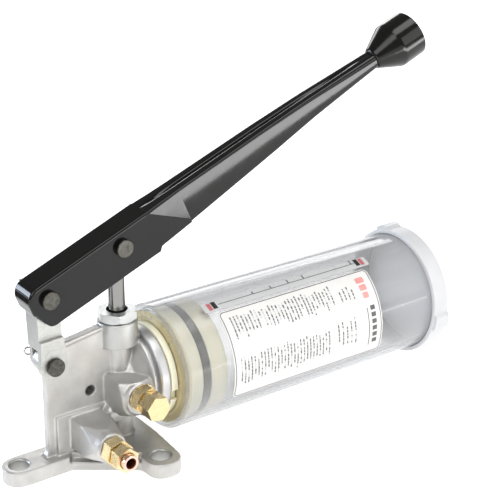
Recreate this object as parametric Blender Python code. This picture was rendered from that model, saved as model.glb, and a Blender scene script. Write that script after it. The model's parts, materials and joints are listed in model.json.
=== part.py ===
"""A hand-lever grease pump with a clear screw-on reservoir, modelled piece by piece.

Lengths in this file are in millimetres, and the mesh helpers turn them into metres.
The origin is on the underside of the foot plate, under the plunger's axis.
+X runs along the reservoir, -Y is the side with the outlet and the bleed screw, +Z is up.
"""

import math

import bmesh
import bpy
from mathutils import Matrix, Vector

MM = 0.001
GAP = 0.3            # left between pieces that touch on the real pump

# Foot plate
PLATE_THICK = 8.2
LEFT_FOOT_X = -61.9
RIGHT_FOOT = (3.6, 34.6)
FOOT_HALF = 9.05
FOOT_HOLE_R = 5.4
SIDE_X = 15.4
NECK_X = -35.5             # where the left foot's neck ends and the slanted edges start
LOBE_NOTCH = (-6.1, 30.3)  # where a slanted edge meets the lobe of a right foot
LOBE_REACH = 11.0          # a right foot's lobe, outwards from its hole
LEDGE_Z = 4.9              # the plate's top steps down to a ledge along the slanted edges
LEDGE_TOP_Z = 9.4
LEDGE_ALONG = (-1.0, 36.6)
LEDGE_ACROSS = (-4.0, 4.4)

# Web and ear
WEB_LEFT_X = -45.2
WEB_HALF = 2.3
WEB_TOP_LEFT_Z = 71.4
WEB_TOP_RIGHT_Z = 76.2
WEB_PAD_HALF = 4.2
WEB_PAD_TOP_Z = 30.5
WEB_HOLE = (-19.0, 39.4)
WEB_HOLE_R = 2.9
WEB_HOLE_FLOOR_Y = 7.0     # the hole is blind, in a boss on the web's back
WEB_BOSS_R = 6.5
WEB_BOSS_BACK_Y = 9.0
EAR_R = 6.5
EAR_HALF = 4.5

# Pump barrel, head and gland
BARREL_R = 7.1
HEAD_R = 10.9
HEAD_LOW_Z = 61.6
HEAD_TOP_Z = 75.6
BORE_R = 4.8
BORE_FLOOR_Z = 9.5
PACKING_R = 8.3
PACKING_FLOOR_Z = 63.6
NUT_FLATS_R = 9.65
NUT_TOP_Z = 81.1
NUT_BORE_R = 5.8
ROD_R = 4.5
ROD_LOW_Z = 42.0

# Check valve under the plunger
SEAT_Z = (21.6, 24.4)
SEAT_HOLE_R = 2.0
BALL_R = 3.0
BALL_Z = 19.0
SPRING_Z = (9.8, 15.7)
SPRING_COIL_R = 2.6
SPRING_WIRE_R = 0.4
SPRING_TURNS = 4

# Bosses on the -Y side
BLEED_Z = 38.6
BLEED_BOSS_HALF = (10.7, 9.7)
BLEED_FACE_Y = -23.0
OUTLET_X = -23.5
OUTLET_Z = 19.3
OUTLET_BOSS_HALF = (9.3, 9.4)
OUTLET_FACE_Y = -31.4
BOSS_NOSE_R = 8.5
PASSAGE_R = 2.0
INLET_R = 3.0

# Outlet fittings, from the boss's face outwards
OUTLET_HEX_R = 6.9
OUTLET_HEX_LENGTH = 7.0
OUTLET_THREAD_LENGTH = 9.6
UNION_HEX_R = 6.0
UNION_LENGTH = 7.3
OUTLET_THREAD_R = 4.0
SLEEVE_R = (3.0, 4.4)
SLEEVE_END_Y = -49.6
OUTLET_BORE_R = 2.2

# Bleed fittings
BLEED_WASHER_R = (4.9, 7.6)
BLEED_WASHER_THICK = 0.9
BLEED_HEX_R = 7.0
BLEED_HEX_LENGTH = 5.6
BLEED_SCREW_HEX_R = 6.2
BLEED_SCREW_LENGTH = 9.6

# Reservoir, on an axis along X
TANK_Z = 40.5
FLANGE_R = 25.6
FLANGE_X = 17.0
SPIGOT_R = 16.6
SPIGOT_END_X = 24.2
COLLAR_X = (17.3, 20.9)
GASKET_R = (17.1, 19.4)
COLLAR_R = (19.8, 26.0)
TUBE_X = (21.2, 201.5)
TUBE_R = 35.0
TUBE_BORE_R = 32.3
TUBE_WALL_X = 24.4
TUBE_NECK_R = 16.9
CAP_RING_X = (192.6, 203.2)
CAP_R = 37.8
CAP_LUG_R = 39.9
CAP_LUGS = 3
CAP_LUG_START_DEG = -18.0
LABEL_R = (35.3, 35.6)
LABEL_X = (51.2, 154.6)
LABEL_DEG = (31.0, 114.0)
SCALE_X = (45.5, 159.5)
SCALE_DEG = (17.5, 28.0)

# Follower piston
PISTON_X = (24.9, 49.3)
PISTON_R = 31.7
PISTON_SEAL_X = (33.8, 38.4)

# Lever linkage, in the XZ plane. The lever's own x runs along it from the rod pin.
ROD_PIN_Z = 118.9
LEVER_DEG = 21.8
PIN_SPACING = 47.5
CHANNEL_LENGTH = 66.0
LEVER_HALF = 8.5
LEVER_WALL = 2.0
EAR_PIN = (-42.8, 63.2)
LINK_HALF = (6.7, 6.2)
LEG_R = 7.8
EYE_R = 6.6
PIN_R = 3.0
PIN_HEAD_R = 4.9
PIN_HEAD_LENGTH = 2.4
SPLIT_HOLE_R = 1.1
SPLIT_EYE_R = (1.0, 2.3)
SPLIT_EYE_X = -6.4
FRONT_LEG_THICK = 3.6
BACK_LEG_THICK = 2.8
BACK_LEG_R = 5.6
TOP_HOLE_R = PIN_R + 1.0
CHEEK_LOW_H = (-15.2, -15.8)
ARM_LOW_H = -13.4
ARM_TIP_R = 2.7
ROD_EYE_HALF = 5.6
ROD_STUD_R = 2.7
KNOB_R = 13.5
KNOB_X = (183.7, 199.6, 214.6)
KNOB_LIFT = 1.3


# ---------------------------------------------------------------- mesh helpers

def clear_scene():
    for old in list(bpy.data.objects):
        bpy.data.objects.remove(old, do_unlink=True)


def make_material(name, color, metallic, roughness, alpha=1.0):
    material = bpy.data.materials.new(name)
    material.use_nodes = True
    shader = material.node_tree.nodes["Principled BSDF"]
    shader.inputs["Base Color"].default_value = (*color, 1.0)
    shader.inputs["Metallic"].default_value = metallic
    shader.inputs["Roughness"].default_value = roughness
    shader.inputs["Alpha"].default_value = alpha
    return material


def finish_mesh(mesh_builder, name, material, parent=None):
    """Turn a bmesh in millimetres into an object in metres."""
    bmesh.ops.recalc_face_normals(mesh_builder, faces=mesh_builder.faces)
    bmesh.ops.scale(mesh_builder, vec=(MM, MM, MM), verts=mesh_builder.verts)
    mesh = bpy.data.meshes.new(name)
    mesh_builder.to_mesh(mesh)
    mesh_builder.free()
    mesh.shade_smooth()
    mesh.set_sharp_from_angle(angle=math.radians(35))
    piece = bpy.data.objects.new(name, mesh)
    if material:
        mesh.materials.append(material)
    piece.parent = parent
    bpy.context.scene.collection.objects.link(piece)
    return piece


def at(axis, along, across, up):
    """A point from its place along an axis and its two places across it."""
    if axis == "X":
        return Vector((along, across, up))
    if axis == "Y":
        return Vector((across, along, up))
    return Vector((across, up, along))


def turned(name, material, profile, axis="Z", centre=(0, 0), steps=32, parent=None, ring=False):
    """Revolve (along, radius) points about an axis that runs through centre.

    A ring's profile is a closed loop clear of the axis. Any other profile starts and ends on it.
    """
    builder = bmesh.new()
    points = [at(axis, along, centre[0] + radius, centre[1]) for along, radius in profile]
    verts = [builder.verts.new(point) for point in points]
    pairs = list(zip(verts, verts[1:] + verts[:1])) if ring else list(zip(verts, verts[1:]))
    edges = [builder.edges.new(pair) for pair in pairs]
    bmesh.ops.spin(
        builder, geom=verts + edges, cent=at(axis, 0, *centre), axis=at(axis, 1, 0, 0),
        angle=2 * math.pi, steps=steps, use_merge=True, use_duplicate=False)
    bmesh.ops.remove_doubles(builder, verts=builder.verts, dist=1e-4)
    return finish_mesh(builder, name, material, parent)


def solid_round(low, high, radius, chamfer=0.0):
    """The profile of a plain round bar, with a chamfer at each end."""
    return [(low, 0), (low, radius - chamfer), (low + chamfer, radius),
            (high - chamfer, radius), (high, radius - chamfer), (high, 0)] if chamfer else [
            (low, 0), (low, radius), (high, radius), (high, 0)]


def hollow_round(low, high, inner, outer):
    return [(low, inner), (low, outer), (high, outer), (high, inner)]


def prism(name, material, outline, low, high, axis="Y", parent=None):
    """Extrude an outline along an axis from low to high."""
    builder = bmesh.new()
    verts = [builder.verts.new(at(axis, low, *point)) for point in outline]
    face = builder.faces.new(verts)
    extruded = bmesh.ops.extrude_face_region(builder, geom=[face])["geom"]
    moved = [item for item in extruded if isinstance(item, bmesh.types.BMVert)]
    bmesh.ops.translate(builder, verts=moved, vec=at(axis, high - low, 0, 0))
    return finish_mesh(builder, name, material, parent)


def rounded(corners, steps=5):
    """An outline whose corners (x, y, radius) are turned into arcs."""
    outline = []
    for i, (x, y, radius) in enumerate(corners):
        corner = Vector((x, y))
        before = (Vector(corners[i - 1][:2]) - corner).normalized()
        after = (Vector(corners[(i + 1) % len(corners)][:2]) - corner).normalized()
        half = before.angle(after) / 2
        if radius == 0:
            outline.append(tuple(corner))
            continue
        centre = corner + (before + after).normalized() * (radius / math.sin(half))
        start = corner + before * (radius / math.tan(half)) - centre
        sweep = math.pi - 2 * half
        if before.x * after.y - before.y * after.x > 0:
            sweep = -sweep
        for step in range(steps + 1):
            spoke = start.copy()
            spoke.rotate(Matrix.Rotation(sweep * step / steps, 2))
            outline.append(tuple(centre + spoke))
    return outline


def circle(x, y, radius, steps=24, start_deg=0.0):
    return [(x + radius * math.cos(angle), y + radius * math.sin(angle))
            for angle in (math.radians(start_deg) + 2 * math.pi * i / steps for i in range(steps))]


def hexagon(x, y, flats_r, start_deg=0.0):
    return circle(x, y, flats_r / math.cos(math.pi / 6), 6, start_deg)


def rectangle(low_x, low_y, high_x, high_y):
    return [(low_x, low_y), (high_x, low_y), (high_x, high_y), (low_x, high_y)]


def loft(name, material, sections, parent=None):
    """Join outlines of equal length, each (x, [(y, z), ...]), into a capped solid."""
    builder = bmesh.new()
    loops = [[builder.verts.new((x, y, z)) for y, z in outline] for x, outline in sections]
    count = len(loops[0])
    for near, far in zip(loops, loops[1:]):
        for i in range(count):
            j = (i + 1) % count
            builder.faces.new((near[i], near[j], far[j], far[i]))
    builder.faces.new(loops[0])
    builder.faces.new(loops[-1])
    return finish_mesh(builder, name, material, parent)


def hide(helper):
    helper.hide_render = True
    helper.display_type = "WIRE"


def combine(body, helpers, operation):
    """Add or cut each helper solid with a Boolean on the body."""
    for helper in helpers:
        modifier = body.modifiers.new(operation + "_" + helper.name, "BOOLEAN")
        modifier.operation = operation
        modifier.object = helper
        modifier.solver = "EXACT"
        hide(helper)


def empty_at(name, location, tilt_deg=0.0):
    """A pivot. Its tilt lifts its own +X towards +Z."""
    pivot = bpy.data.objects.new(name, None)
    pivot.location = Vector(location) * MM
    pivot.rotation_euler = (0, -math.radians(tilt_deg), 0)
    bpy.context.scene.collection.objects.link(pivot)
    return pivot


# ---------------------------------------------------------------- casting

def foot_plate_outline():
    foot_x, foot_y = RIGHT_FOOT
    tip_x, outer_y = LEFT_FOOT_X - FOOT_HALF, foot_y + LOBE_REACH
    notch_x, notch_y = LOBE_NOTCH
    half = [
        (tip_x, -FOOT_HALF, FOOT_HALF - 0.05),
        (NECK_X, -FOOT_HALF, 5.0),
        (notch_x, -notch_y, 3.0),
        (foot_x - 9.0, -outer_y, 8.8),
        (foot_x + 9.0, -outer_y, 8.9),
        (SIDE_X, -9.0, 30.0),
    ]
    other = [(x, -y, radius) for x, y, radius in reversed(half)]
    return rounded(half + other, 6)


def edge_ledge(side):
    """A cutter for the ledge along one slanted edge of the plate. side is -1 towards -Y."""
    start = Vector((NECK_X, FOOT_HALF * side))
    along = (Vector((LOBE_NOTCH[0], LOBE_NOTCH[1] * side)) - start).normalized()
    inward = Vector((-along.y, along.x)) * -side
    corners = [start + along * s + inward * t for s, t in rectangle(
        LEDGE_ALONG[0], LEDGE_ACROSS[0], LEDGE_ALONG[1], LEDGE_ACROSS[1])]
    return prism("edge_ledge", None, [tuple(corner) for corner in corners], LEDGE_Z, LEDGE_TOP_Z, "Z")


def web_outline():
    return [(WEB_LEFT_X, 4.0), (0.0, 4.0), (0.0, WEB_TOP_RIGHT_Z - 1.2),
            (-35.6, WEB_TOP_LEFT_Z), (-38.8, 66.8), (WEB_LEFT_X, 58.8)]


def boss(name, x, z, half, nose_profile):
    """A square boss whose front is turned down to a round nose towards -Y."""
    face_y = nose_profile[-1][0]
    block = prism(name + "_block", None, rounded(
        [(x - half[0], z - half[1], 1.5), (x + half[0], z - half[1], 1.5),
         (x + half[0], z + half[1], 1.5), (x - half[0], z + half[1], 1.5)], 3), 1.0, face_y - 2.0)
    nose = turned(name + "_nose", None, nose_profile, "Y", (x, z))
    combine(block, [nose], "INTERSECT")
    return block


def casting_solids():
    flange_profile = [
        (-2.0, 0), (-2.0, 9.0), (3.0, 13.0), (7.2, 20.0), (8.0, 23.4), (9.2, 23.4), (9.6, 21.6),
        (11.0, 21.6), (11.4, FLANGE_R - 0.6), (12.0, FLANGE_R), (16.4, FLANGE_R),
        (FLANGE_X, FLANGE_R - 0.6), (FLANGE_X, SPIGOT_R), (SPIGOT_END_X, SPIGOT_R), (SPIGOT_END_X, 0)]
    bleed_nose = [
        (2.0, 0), (2.0, 15.0), (BLEED_FACE_Y + 8.4, 15.0), (BLEED_FACE_Y + 1.9, 10.7),
        (BLEED_FACE_Y + 1.2, 9.3), (BLEED_FACE_Y, BOSS_NOSE_R + 0.2), (BLEED_FACE_Y, 0)]
    outlet_nose = [
        (2.0, 0), (2.0, 14.5), (OUTLET_FACE_Y + 20.4, 14.5), (OUTLET_FACE_Y + 4.8, 9.3),
        (OUTLET_FACE_Y + 0.8, BOSS_NOSE_R), (OUTLET_FACE_Y, BOSS_NOSE_R - 0.8), (OUTLET_FACE_Y, 0)]
    head_profile = [(HEAD_LOW_Z - 0.6, 0), (HEAD_LOW_Z - 0.6, BARREL_R + 1.6),
                    (HEAD_LOW_Z + 0.5, HEAD_R), (HEAD_TOP_Z - 0.4, HEAD_R),
                    (HEAD_TOP_Z, HEAD_R - 0.4), (HEAD_TOP_Z, 0)]
    return [
        prism("web", None, web_outline(), -WEB_HALF, WEB_HALF),
        prism("web_pad", None, rectangle(-40.7, 5.0, -1.0, WEB_PAD_TOP_Z),
              -WEB_PAD_HALF, WEB_PAD_HALF),
        turned("web_boss", None, [
            (0, 0), (0, WEB_BOSS_R), (WEB_BOSS_BACK_Y - 0.6, WEB_BOSS_R),
            (WEB_BOSS_BACK_Y, WEB_BOSS_R - 0.6), (WEB_BOSS_BACK_Y, 0)], "Y", WEB_HOLE, 24),
        turned("ear", None, solid_round(-EAR_HALF, EAR_HALF, EAR_R, 0.5), "Y", EAR_PIN, 28),
        turned("barrel", None, solid_round(3.0, HEAD_LOW_Z + 3.0, BARREL_R), "Z", (0, 0), 28),
        turned("head", None, head_profile, "Z", (0, 0), 36),
        turned("flange", None, flange_profile, "X", (0, TANK_Z), 40),
        turned("drill_bulge", None, [(0, 0), (0, 5.6), (-8.6, 5.6), (-10.6, 4.2), (-11.4, 0)],
               "Y", (-8.0, 25.2), 20),
        boss("bleed_boss", 0.0, BLEED_Z - 1.4, BLEED_BOSS_HALF, bleed_nose),
        boss("outlet_boss", OUTLET_X, OUTLET_Z, OUTLET_BOSS_HALF, outlet_nose),
    ]


def casting_cuts():
    foot_x, foot_y = RIGHT_FOOT
    holes = [(LEFT_FOOT_X, 0.0), (foot_x, -foot_y), (foot_x, foot_y)]
    hole_profile = [(-1, 0), (-1, FOOT_HOLE_R), (PLATE_THICK - 0.6, FOOT_HOLE_R),
                    (PLATE_THICK + 0.4, FOOT_HOLE_R + 1.0), (PLATE_THICK + 2, 0)]
    cuts = [turned(f"foot_hole_{i}", None, hole_profile, "Z", spot, 24)
            for i, spot in enumerate(holes)]
    return cuts + [edge_ledge(-1), edge_ledge(1)] + [
        turned("plunger_bore", None, [
            (BORE_FLOOR_Z, 0), (BORE_FLOOR_Z, BORE_R), (PACKING_FLOOR_Z, BORE_R),
            (PACKING_FLOOR_Z, PACKING_R), (HEAD_TOP_Z + 2, PACKING_R), (HEAD_TOP_Z + 2, 0)]),
        turned("inlet_port", None, solid_round(1.0, SPIGOT_END_X + 2, INLET_R), "X", (0, TANK_Z), 16),
        turned("cross_port", None, solid_round(OUTLET_X - 1.1, 0.0, PASSAGE_R), "X",
               (0, OUTLET_Z - 2), 12),
        turned("outlet_port", None, [
            (0.9, 0), (0.9, PASSAGE_R + 0.6), (-21.0, PASSAGE_R + 0.6), (-21.0, 4.4),
            (OUTLET_FACE_Y - 2, 4.4), (OUTLET_FACE_Y - 2, 0)], "Y", (OUTLET_X, OUTLET_Z), 20),
        turned("bleed_port", None, [
            (0.0, 0), (0.0, 1.5), (-14.0, 1.5), (-14.0, 4.6),
            (BLEED_FACE_Y - 2, 4.6), (BLEED_FACE_Y - 2, 0)], "Y", (0.0, BLEED_Z), 20),
        turned("ear_hole", None, solid_round(-8, 8, PIN_R + GAP), "Y", EAR_PIN, 20),
        turned("web_hole", None, solid_round(-6, WEB_HOLE_FLOOR_Y, WEB_HOLE_R), "Y", WEB_HOLE, 20),
    ]


def pump_casting(metal):
    body = prism("pump_casting", metal, foot_plate_outline(), 0.0, PLATE_THICK, "Z")
    combine(body, casting_solids(), "UNION")
    combine(body, casting_cuts(), "DIFFERENCE")
    return body


# ---------------------------------------------------------------- gland and check valve

def gland_pieces(zinc, rubber):
    nut = prism("gland_nut", zinc, hexagon(0, 0, NUT_FLATS_R, 8.0), HEAD_TOP_Z + GAP, NUT_TOP_Z, "Z")
    spigot = turned("nut_spigot", None, solid_round(67.6, HEAD_TOP_Z + 2, PACKING_R - GAP))
    top_cone = turned("nut_crown", None, [
        (60, 0), (60, 12.5), (NUT_TOP_Z - 1.1, 12.5), (NUT_TOP_Z + 0.9, 9.0), (NUT_TOP_Z + 0.9, 0)])
    bore = turned("nut_bore", None, solid_round(60, NUT_TOP_Z + 3, NUT_BORE_R))
    combine(nut, [spigot], "UNION")
    combine(nut, [top_cone], "INTERSECT")
    combine(nut, [bore], "DIFFERENCE")
    turned("rod_packing", rubber, hollow_round(PACKING_FLOOR_Z + GAP, 67.3, ROD_R + GAP,
                                               PACKING_R - GAP), ring=True)


def spring_mesh(name, metal):
    """A round-wire coil: a small circle swept along a helix, with closed ends."""
    low, high = SPRING_Z[0] + SPRING_WIRE_R, SPRING_Z[1] - SPRING_WIRE_R
    per_turn, wire_steps = 12, 6
    builder = bmesh.new()
    loops = []
    for i in range(SPRING_TURNS * per_turn + 1):
        turn = 2 * math.pi * i / per_turn
        height = low + (high - low) * i / (SPRING_TURNS * per_turn)
        loops.append([builder.verts.new((
            (SPRING_COIL_R + SPRING_WIRE_R * math.cos(a)) * math.cos(turn),
            (SPRING_COIL_R + SPRING_WIRE_R * math.cos(a)) * math.sin(turn),
            height + SPRING_WIRE_R * math.sin(a)))
            for a in (2 * math.pi * k / wire_steps for k in range(wire_steps))])
    for near, far in zip(loops, loops[1:]):
        for k in range(wire_steps):
            j = (k + 1) % wire_steps
            builder.faces.new((near[k], near[j], far[j], far[k]))
    builder.faces.new(loops[0])
    builder.faces.new(loops[-1])
    return finish_mesh(builder, name, metal)


def valve_pieces(steel, brass):
    turned("valve_seat", brass, hollow_round(*SEAT_Z, SEAT_HOLE_R, BORE_R - GAP), ring=True, steps=24)
    centre = empty_at("valve_ball_centre", (0, 0, BALL_Z))
    arc = [(BALL_R * -math.cos(math.pi * i / 8), BALL_R * math.sin(math.pi * i / 8)) for i in range(9)]
    arc[0], arc[-1] = (-BALL_R, 0), (BALL_R, 0)
    turned("valve_ball", steel, arc, steps=16, parent=centre)
    spring_mesh("valve_spring", steel)


# ---------------------------------------------------------------- brass fittings

def outlet_pieces(brass, copper):
    spot = (OUTLET_X, OUTLET_Z)
    face = OUTLET_FACE_Y - GAP
    thread_end = face - OUTLET_THREAD_LENGTH
    adapter = prism("outlet_adapter", brass, hexagon(*spot, OUTLET_HEX_R, 12.0),
                    face, face - OUTLET_HEX_LENGTH)
    thread = turned("adapter_threads", None, solid_round(-22.0, thread_end, OUTLET_THREAD_R),
                    "Y", spot, 20)
    bore = turned("adapter_bore", None, solid_round(-20.0, thread_end - 1, OUTLET_BORE_R), "Y", spot, 16)
    combine(adapter, [thread], "UNION")
    combine(adapter, [bore], "DIFFERENCE")
    nut_y = face - OUTLET_HEX_LENGTH - GAP
    nut = prism("outlet_union_nut", brass, hexagon(*spot, UNION_HEX_R, 20.0), nut_y, nut_y - UNION_LENGTH)
    nut_bore = turned("union_bore", None, solid_round(nut_y + 1, nut_y - UNION_LENGTH - 1,
                                                      SLEEVE_R[1] + GAP), "Y", spot, 20)
    combine(nut, [nut_bore], "DIFFERENCE")
    turned("outlet_sleeve", copper, hollow_round(thread_end - GAP, SLEEVE_END_Y, *SLEEVE_R),
           "Y", spot, 24, ring=True)


def bleed_pieces(brass, copper):
    spot = (0.0, BLEED_Z)
    washer_y = BLEED_FACE_Y - GAP
    hex_y = washer_y - BLEED_WASHER_THICK - GAP
    screw_y = hex_y - BLEED_HEX_LENGTH - GAP
    turned("bleed_washer", copper, hollow_round(washer_y, washer_y - BLEED_WASHER_THICK, *BLEED_WASHER_R),
           "Y", spot, 28, ring=True)
    adapter = prism("bleed_adapter", brass, hexagon(*spot, BLEED_HEX_R, 15.0), hex_y,
                    hex_y - BLEED_HEX_LENGTH)
    thread = turned("bleed_thread", None, solid_round(-15.0, hex_y - 2, 4.3), "Y", spot, 20)
    bore = turned("bleed_bore", None, solid_round(-14.0, screw_y - 3, 3.0), "Y", spot, 20)
    combine(adapter, [thread], "UNION")
    combine(adapter, [bore], "DIFFERENCE")
    pivot = empty_at("bleed_axis", (0.0, screw_y, BLEED_Z))
    screw = prism("bleed_screw", brass, hexagon(0, 0, BLEED_SCREW_HEX_R, -11.0), 0.0, -BLEED_SCREW_LENGTH,
                  parent=pivot)
    shank = turned("bleed_shank", None, solid_round(-1.0, 15.0, 2.6), "Y", (0, 0), 20, parent=pivot)
    crown = turned("screw_crown", None, [
        (16, 0), (16, 9), (-BLEED_SCREW_LENGTH + 0.8, 9), (-BLEED_SCREW_LENGTH - 0.2, 5.9),
        (-BLEED_SCREW_LENGTH - 0.2, 0)], "Y", (0, 0), 24, parent=pivot)
    combine(screw, [shank], "UNION")
    combine(screw, [crown], "INTERSECT")


# ---------------------------------------------------------------- reservoir

def arc_plate(name, material, x_range, deg_range, r_range, parent, steps=20):
    """A thin sheet bent round the reservoir. Angles run from the top towards -Y."""
    sections = []
    for i in range(steps + 1):
        angle = math.radians(deg_range[0] + (deg_range[1] - deg_range[0]) * i / steps)
        low, high = [(-r * math.sin(angle), r * math.cos(angle)) for r in r_range]
        sections.append((low, high))
    outline = [low for low, _ in sections] + [high for _, high in reversed(sections)]
    return prism(name, material, outline, *x_range, "X", parent)


def reservoir_pieces(clear, cream, cap_plastic, paper, film, rubber):
    pivot = empty_at("reservoir_axis", (0, 0, TANK_Z))
    turned("neck_gasket", rubber, hollow_round(*COLLAR_X, *GASKET_R), "X", (0, TANK_Z), 36, ring=True)
    collar = turned("reservoir_collar", cream, hollow_round(*COLLAR_X, *COLLAR_R),
                    "X", (0, 0), 48, pivot, True)
    notch = prism("collar_notch", None, rectangle(-30.0, -8.5, -22.6, -2.5), 15.0, 23.0, "X", pivot)
    combine(collar, [notch], "DIFFERENCE")
    low, high = TUBE_X
    turned("reservoir_tube", clear, [
        (low + 0.3, TUBE_NECK_R), (low + 0.3, 27.0), (low + 2.2, 27.6), (low + 2.2, 31.0),
        (low, 31.6), (low, 33.2), (low + 1.6, TUBE_R), (high, TUBE_R), (high, TUBE_BORE_R),
        (TUBE_WALL_X + 1.6, TUBE_BORE_R), (TUBE_WALL_X, 30.6), (TUBE_WALL_X, TUBE_NECK_R)],
        "X", (0, 0), 48, pivot, True)
    ring_low, cap_end = CAP_RING_X
    cap = turned("end_cap", cap_plastic, [
        (high + GAP, 2.0), (high + GAP, TUBE_R + GAP), (ring_low, TUBE_R + GAP),
        (ring_low, CAP_R - 0.6), (ring_low + 0.8, CAP_R), (cap_end - 0.8, CAP_R),
        (cap_end, CAP_R - 0.8), (cap_end, 2.0)], "X", (0, 0), 48, pivot, True)
    lugs = []
    for i in range(CAP_LUGS):
        angle = 2 * math.pi * i / CAP_LUGS + math.radians(CAP_LUG_START_DEG)
        lug = prism(f"cap_lug_{i}", None, rectangle(-5.0, CAP_R - 1.0, 5.0, CAP_LUG_R),
                    ring_low + 0.6, cap_end - 0.5, "X", pivot)
        lug.rotation_euler = (angle, 0, 0)
        lugs.append(lug)
    combine(cap, lugs, "UNION")
    arc_plate("label", paper, LABEL_X, LABEL_DEG, LABEL_R, pivot)
    arc_plate("level_scale", film, SCALE_X, SCALE_DEG, LABEL_R, pivot, 4)


def piston_pieces(cream, rubber):
    pivot = empty_at("piston_axis", (0, 0, TANK_Z))
    low, high = PISTON_X
    groove_low, groove_high = PISTON_SEAL_X[0] - GAP, PISTON_SEAL_X[1] + GAP
    turned("follower_piston", cream, [
        (low, 0), (low, PISTON_R - 1.5), (low + 1.5, PISTON_R), (groove_low, PISTON_R),
        (groove_low, 28.6), (groove_high, 28.6), (groove_high, PISTON_R), (high, PISTON_R),
        (high, 26.0), (low + 4.0, 25.0), (low + 4.0, 0)], "X", (0, 0), 48, pivot)
    turned("piston_seal", rubber, hollow_round(*PISTON_SEAL_X, 28.9, PISTON_R + 0.3),
           "X", (0, 0), 48, pivot, True)


# ---------------------------------------------------------------- linkage

def headed_pin(name, metal, spot, head_y, end_y, parent, tilt_deg):
    """A pin along Y with its round head at head_y, and a tilted hole for its split pin."""
    shank_y = head_y + PIN_HEAD_LENGTH
    pin = turned(name, metal, [
        (head_y, 0), (head_y, PIN_HEAD_R - 0.3), (head_y + 0.3, PIN_HEAD_R), (shank_y, PIN_HEAD_R),
        (shank_y, PIN_R), (end_y - 0.5, PIN_R), (end_y, PIN_R - 0.5), (end_y, 0)],
        "Y", spot, 20, parent)
    hole = turned(name + "_hole", None, solid_round(-8, 8, SPLIT_HOLE_R), "X", (end_y - 2.0, 0),
                  10, parent)
    hole.location = (spot[0] * MM, 0, spot[1] * MM)
    hole.rotation_euler = (0, -math.radians(tilt_deg), 0)
    combine(pin, [hole], "DIFFERENCE")
    return pin


def split_pin(name, metal, spot, y, parent, tilt_deg):
    """A split pin through a headed pin's end: a loop, two legs side by side and bent tips."""
    half = 0.55
    outline = rounded([(-4.6, -half, 0), (4.0, -half, 0.3), (6.4, -2.6, 0.3), (7.0, -2.0, 0.2),
                       (4.6, half, 0.3), (-4.6, half, 0)], 2)
    legs = prism(name, metal, outline, y - 0.5, y + 0.5, "Y", parent)
    eye = turned(name + "_eye", None, hollow_round(y - 0.5, y + 0.5, *SPLIT_EYE_R),
                 "Y", (SPLIT_EYE_X, 0), 16, parent, True)
    combine(legs, [eye], "UNION")
    for piece in (legs, eye):
        piece.location = (spot[0] * MM, 0, spot[1] * MM)
        piece.rotation_euler = (0, -math.radians(tilt_deg), 0)
    return legs


def link_frame():
    """The link's pivot at the ear, and its length and tilt to the lever's front pin."""
    tilt = math.radians(LEVER_DEG)
    top = Vector((-PIN_SPACING * math.cos(tilt), ROD_PIN_Z - PIN_SPACING * math.sin(tilt)))
    reach = top - Vector(EAR_PIN)
    tilt_deg = math.degrees(math.atan2(reach.y, reach.x)) - 90
    return empty_at("link_pivot", (EAR_PIN[0], 0, EAR_PIN[1]), tilt_deg), reach.length


def leg_outline(radius, top_z, top_half):
    """A leg that narrows upwards from its round end at the pivot."""
    angles = [math.radians(-180 - 14 + i * (208.0 / 14)) for i in range(15)]
    arc = [(radius * math.cos(a), radius * math.sin(a)) for a in angles]
    return arc + [(top_half, top_z), (-top_half, top_z)]


def link_pieces(aluminium, black, steel):
    pivot, length = link_frame()
    half_x, half_y = LINK_HALF
    block_low = EAR_R + 1.6
    block = prism("link", aluminium, rounded([
        (-half_x, block_low, 1.5), (half_x, block_low, 1.5),
        (half_x, length + half_x, half_x - 0.1), (-half_x, length + half_x, half_x - 0.1)], 8),
        -half_y, half_y, "Y", pivot)
    front = prism("link_front_leg", None, leg_outline(LEG_R, 15.0, half_x - 0.1),
                  -EAR_HALF - GAP - FRONT_LEG_THICK, -EAR_HALF - GAP, "Y", pivot)
    back = prism("link_back_leg", None, leg_outline(BACK_LEG_R, 14.0, 5.2),
                 EAR_HALF + GAP, EAR_HALF + GAP + BACK_LEG_THICK, "Y", pivot)
    ear_hole = turned("link_ear_hole", None, solid_round(-12, 12, PIN_R + GAP), "Y", (0, 0), 20, pivot)
    top_hole = turned("link_top_hole", None, solid_round(-12, 12, TOP_HOLE_R), "Y",
                      (0, length), 20, pivot)
    combine(block, [front, back], "UNION")
    combine(block, [ear_hole, top_hole], "DIFFERENCE")
    leg_face = -EAR_HALF - GAP - FRONT_LEG_THICK
    headed_pin("ear_pin", black, (0, 0), leg_face - GAP - PIN_HEAD_LENGTH, 11.6, pivot, -33.0)
    turned("ear_washer", steel, hollow_round(7.9, 8.6, PIN_R + GAP, 5.2), "Y", (0, 0), 20, pivot, True)
    split_pin("ear_split_pin", steel, (0, 0), 9.6, pivot, -33.0)


def lever_section(x, half, top, bottom, groove):
    """One cross-section of the pressed arm, with rounded edges and a groove along its top."""
    soft = 2.0
    return (x, [
        (-half + soft, bottom), (half - soft, bottom), (half - 0.6, bottom + 0.6), (half, bottom + soft),
        (half, top - soft), (half - 0.6, top - 0.6), (half - soft, top), (1.6, top), (0.7, top - groove),
        (-0.7, top - groove), (-1.6, top), (-half + soft, top), (-half + 0.6, top - 0.6),
        (-half, top - soft), (-half, bottom + soft), (-half + 0.6, bottom + 0.6)])


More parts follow.
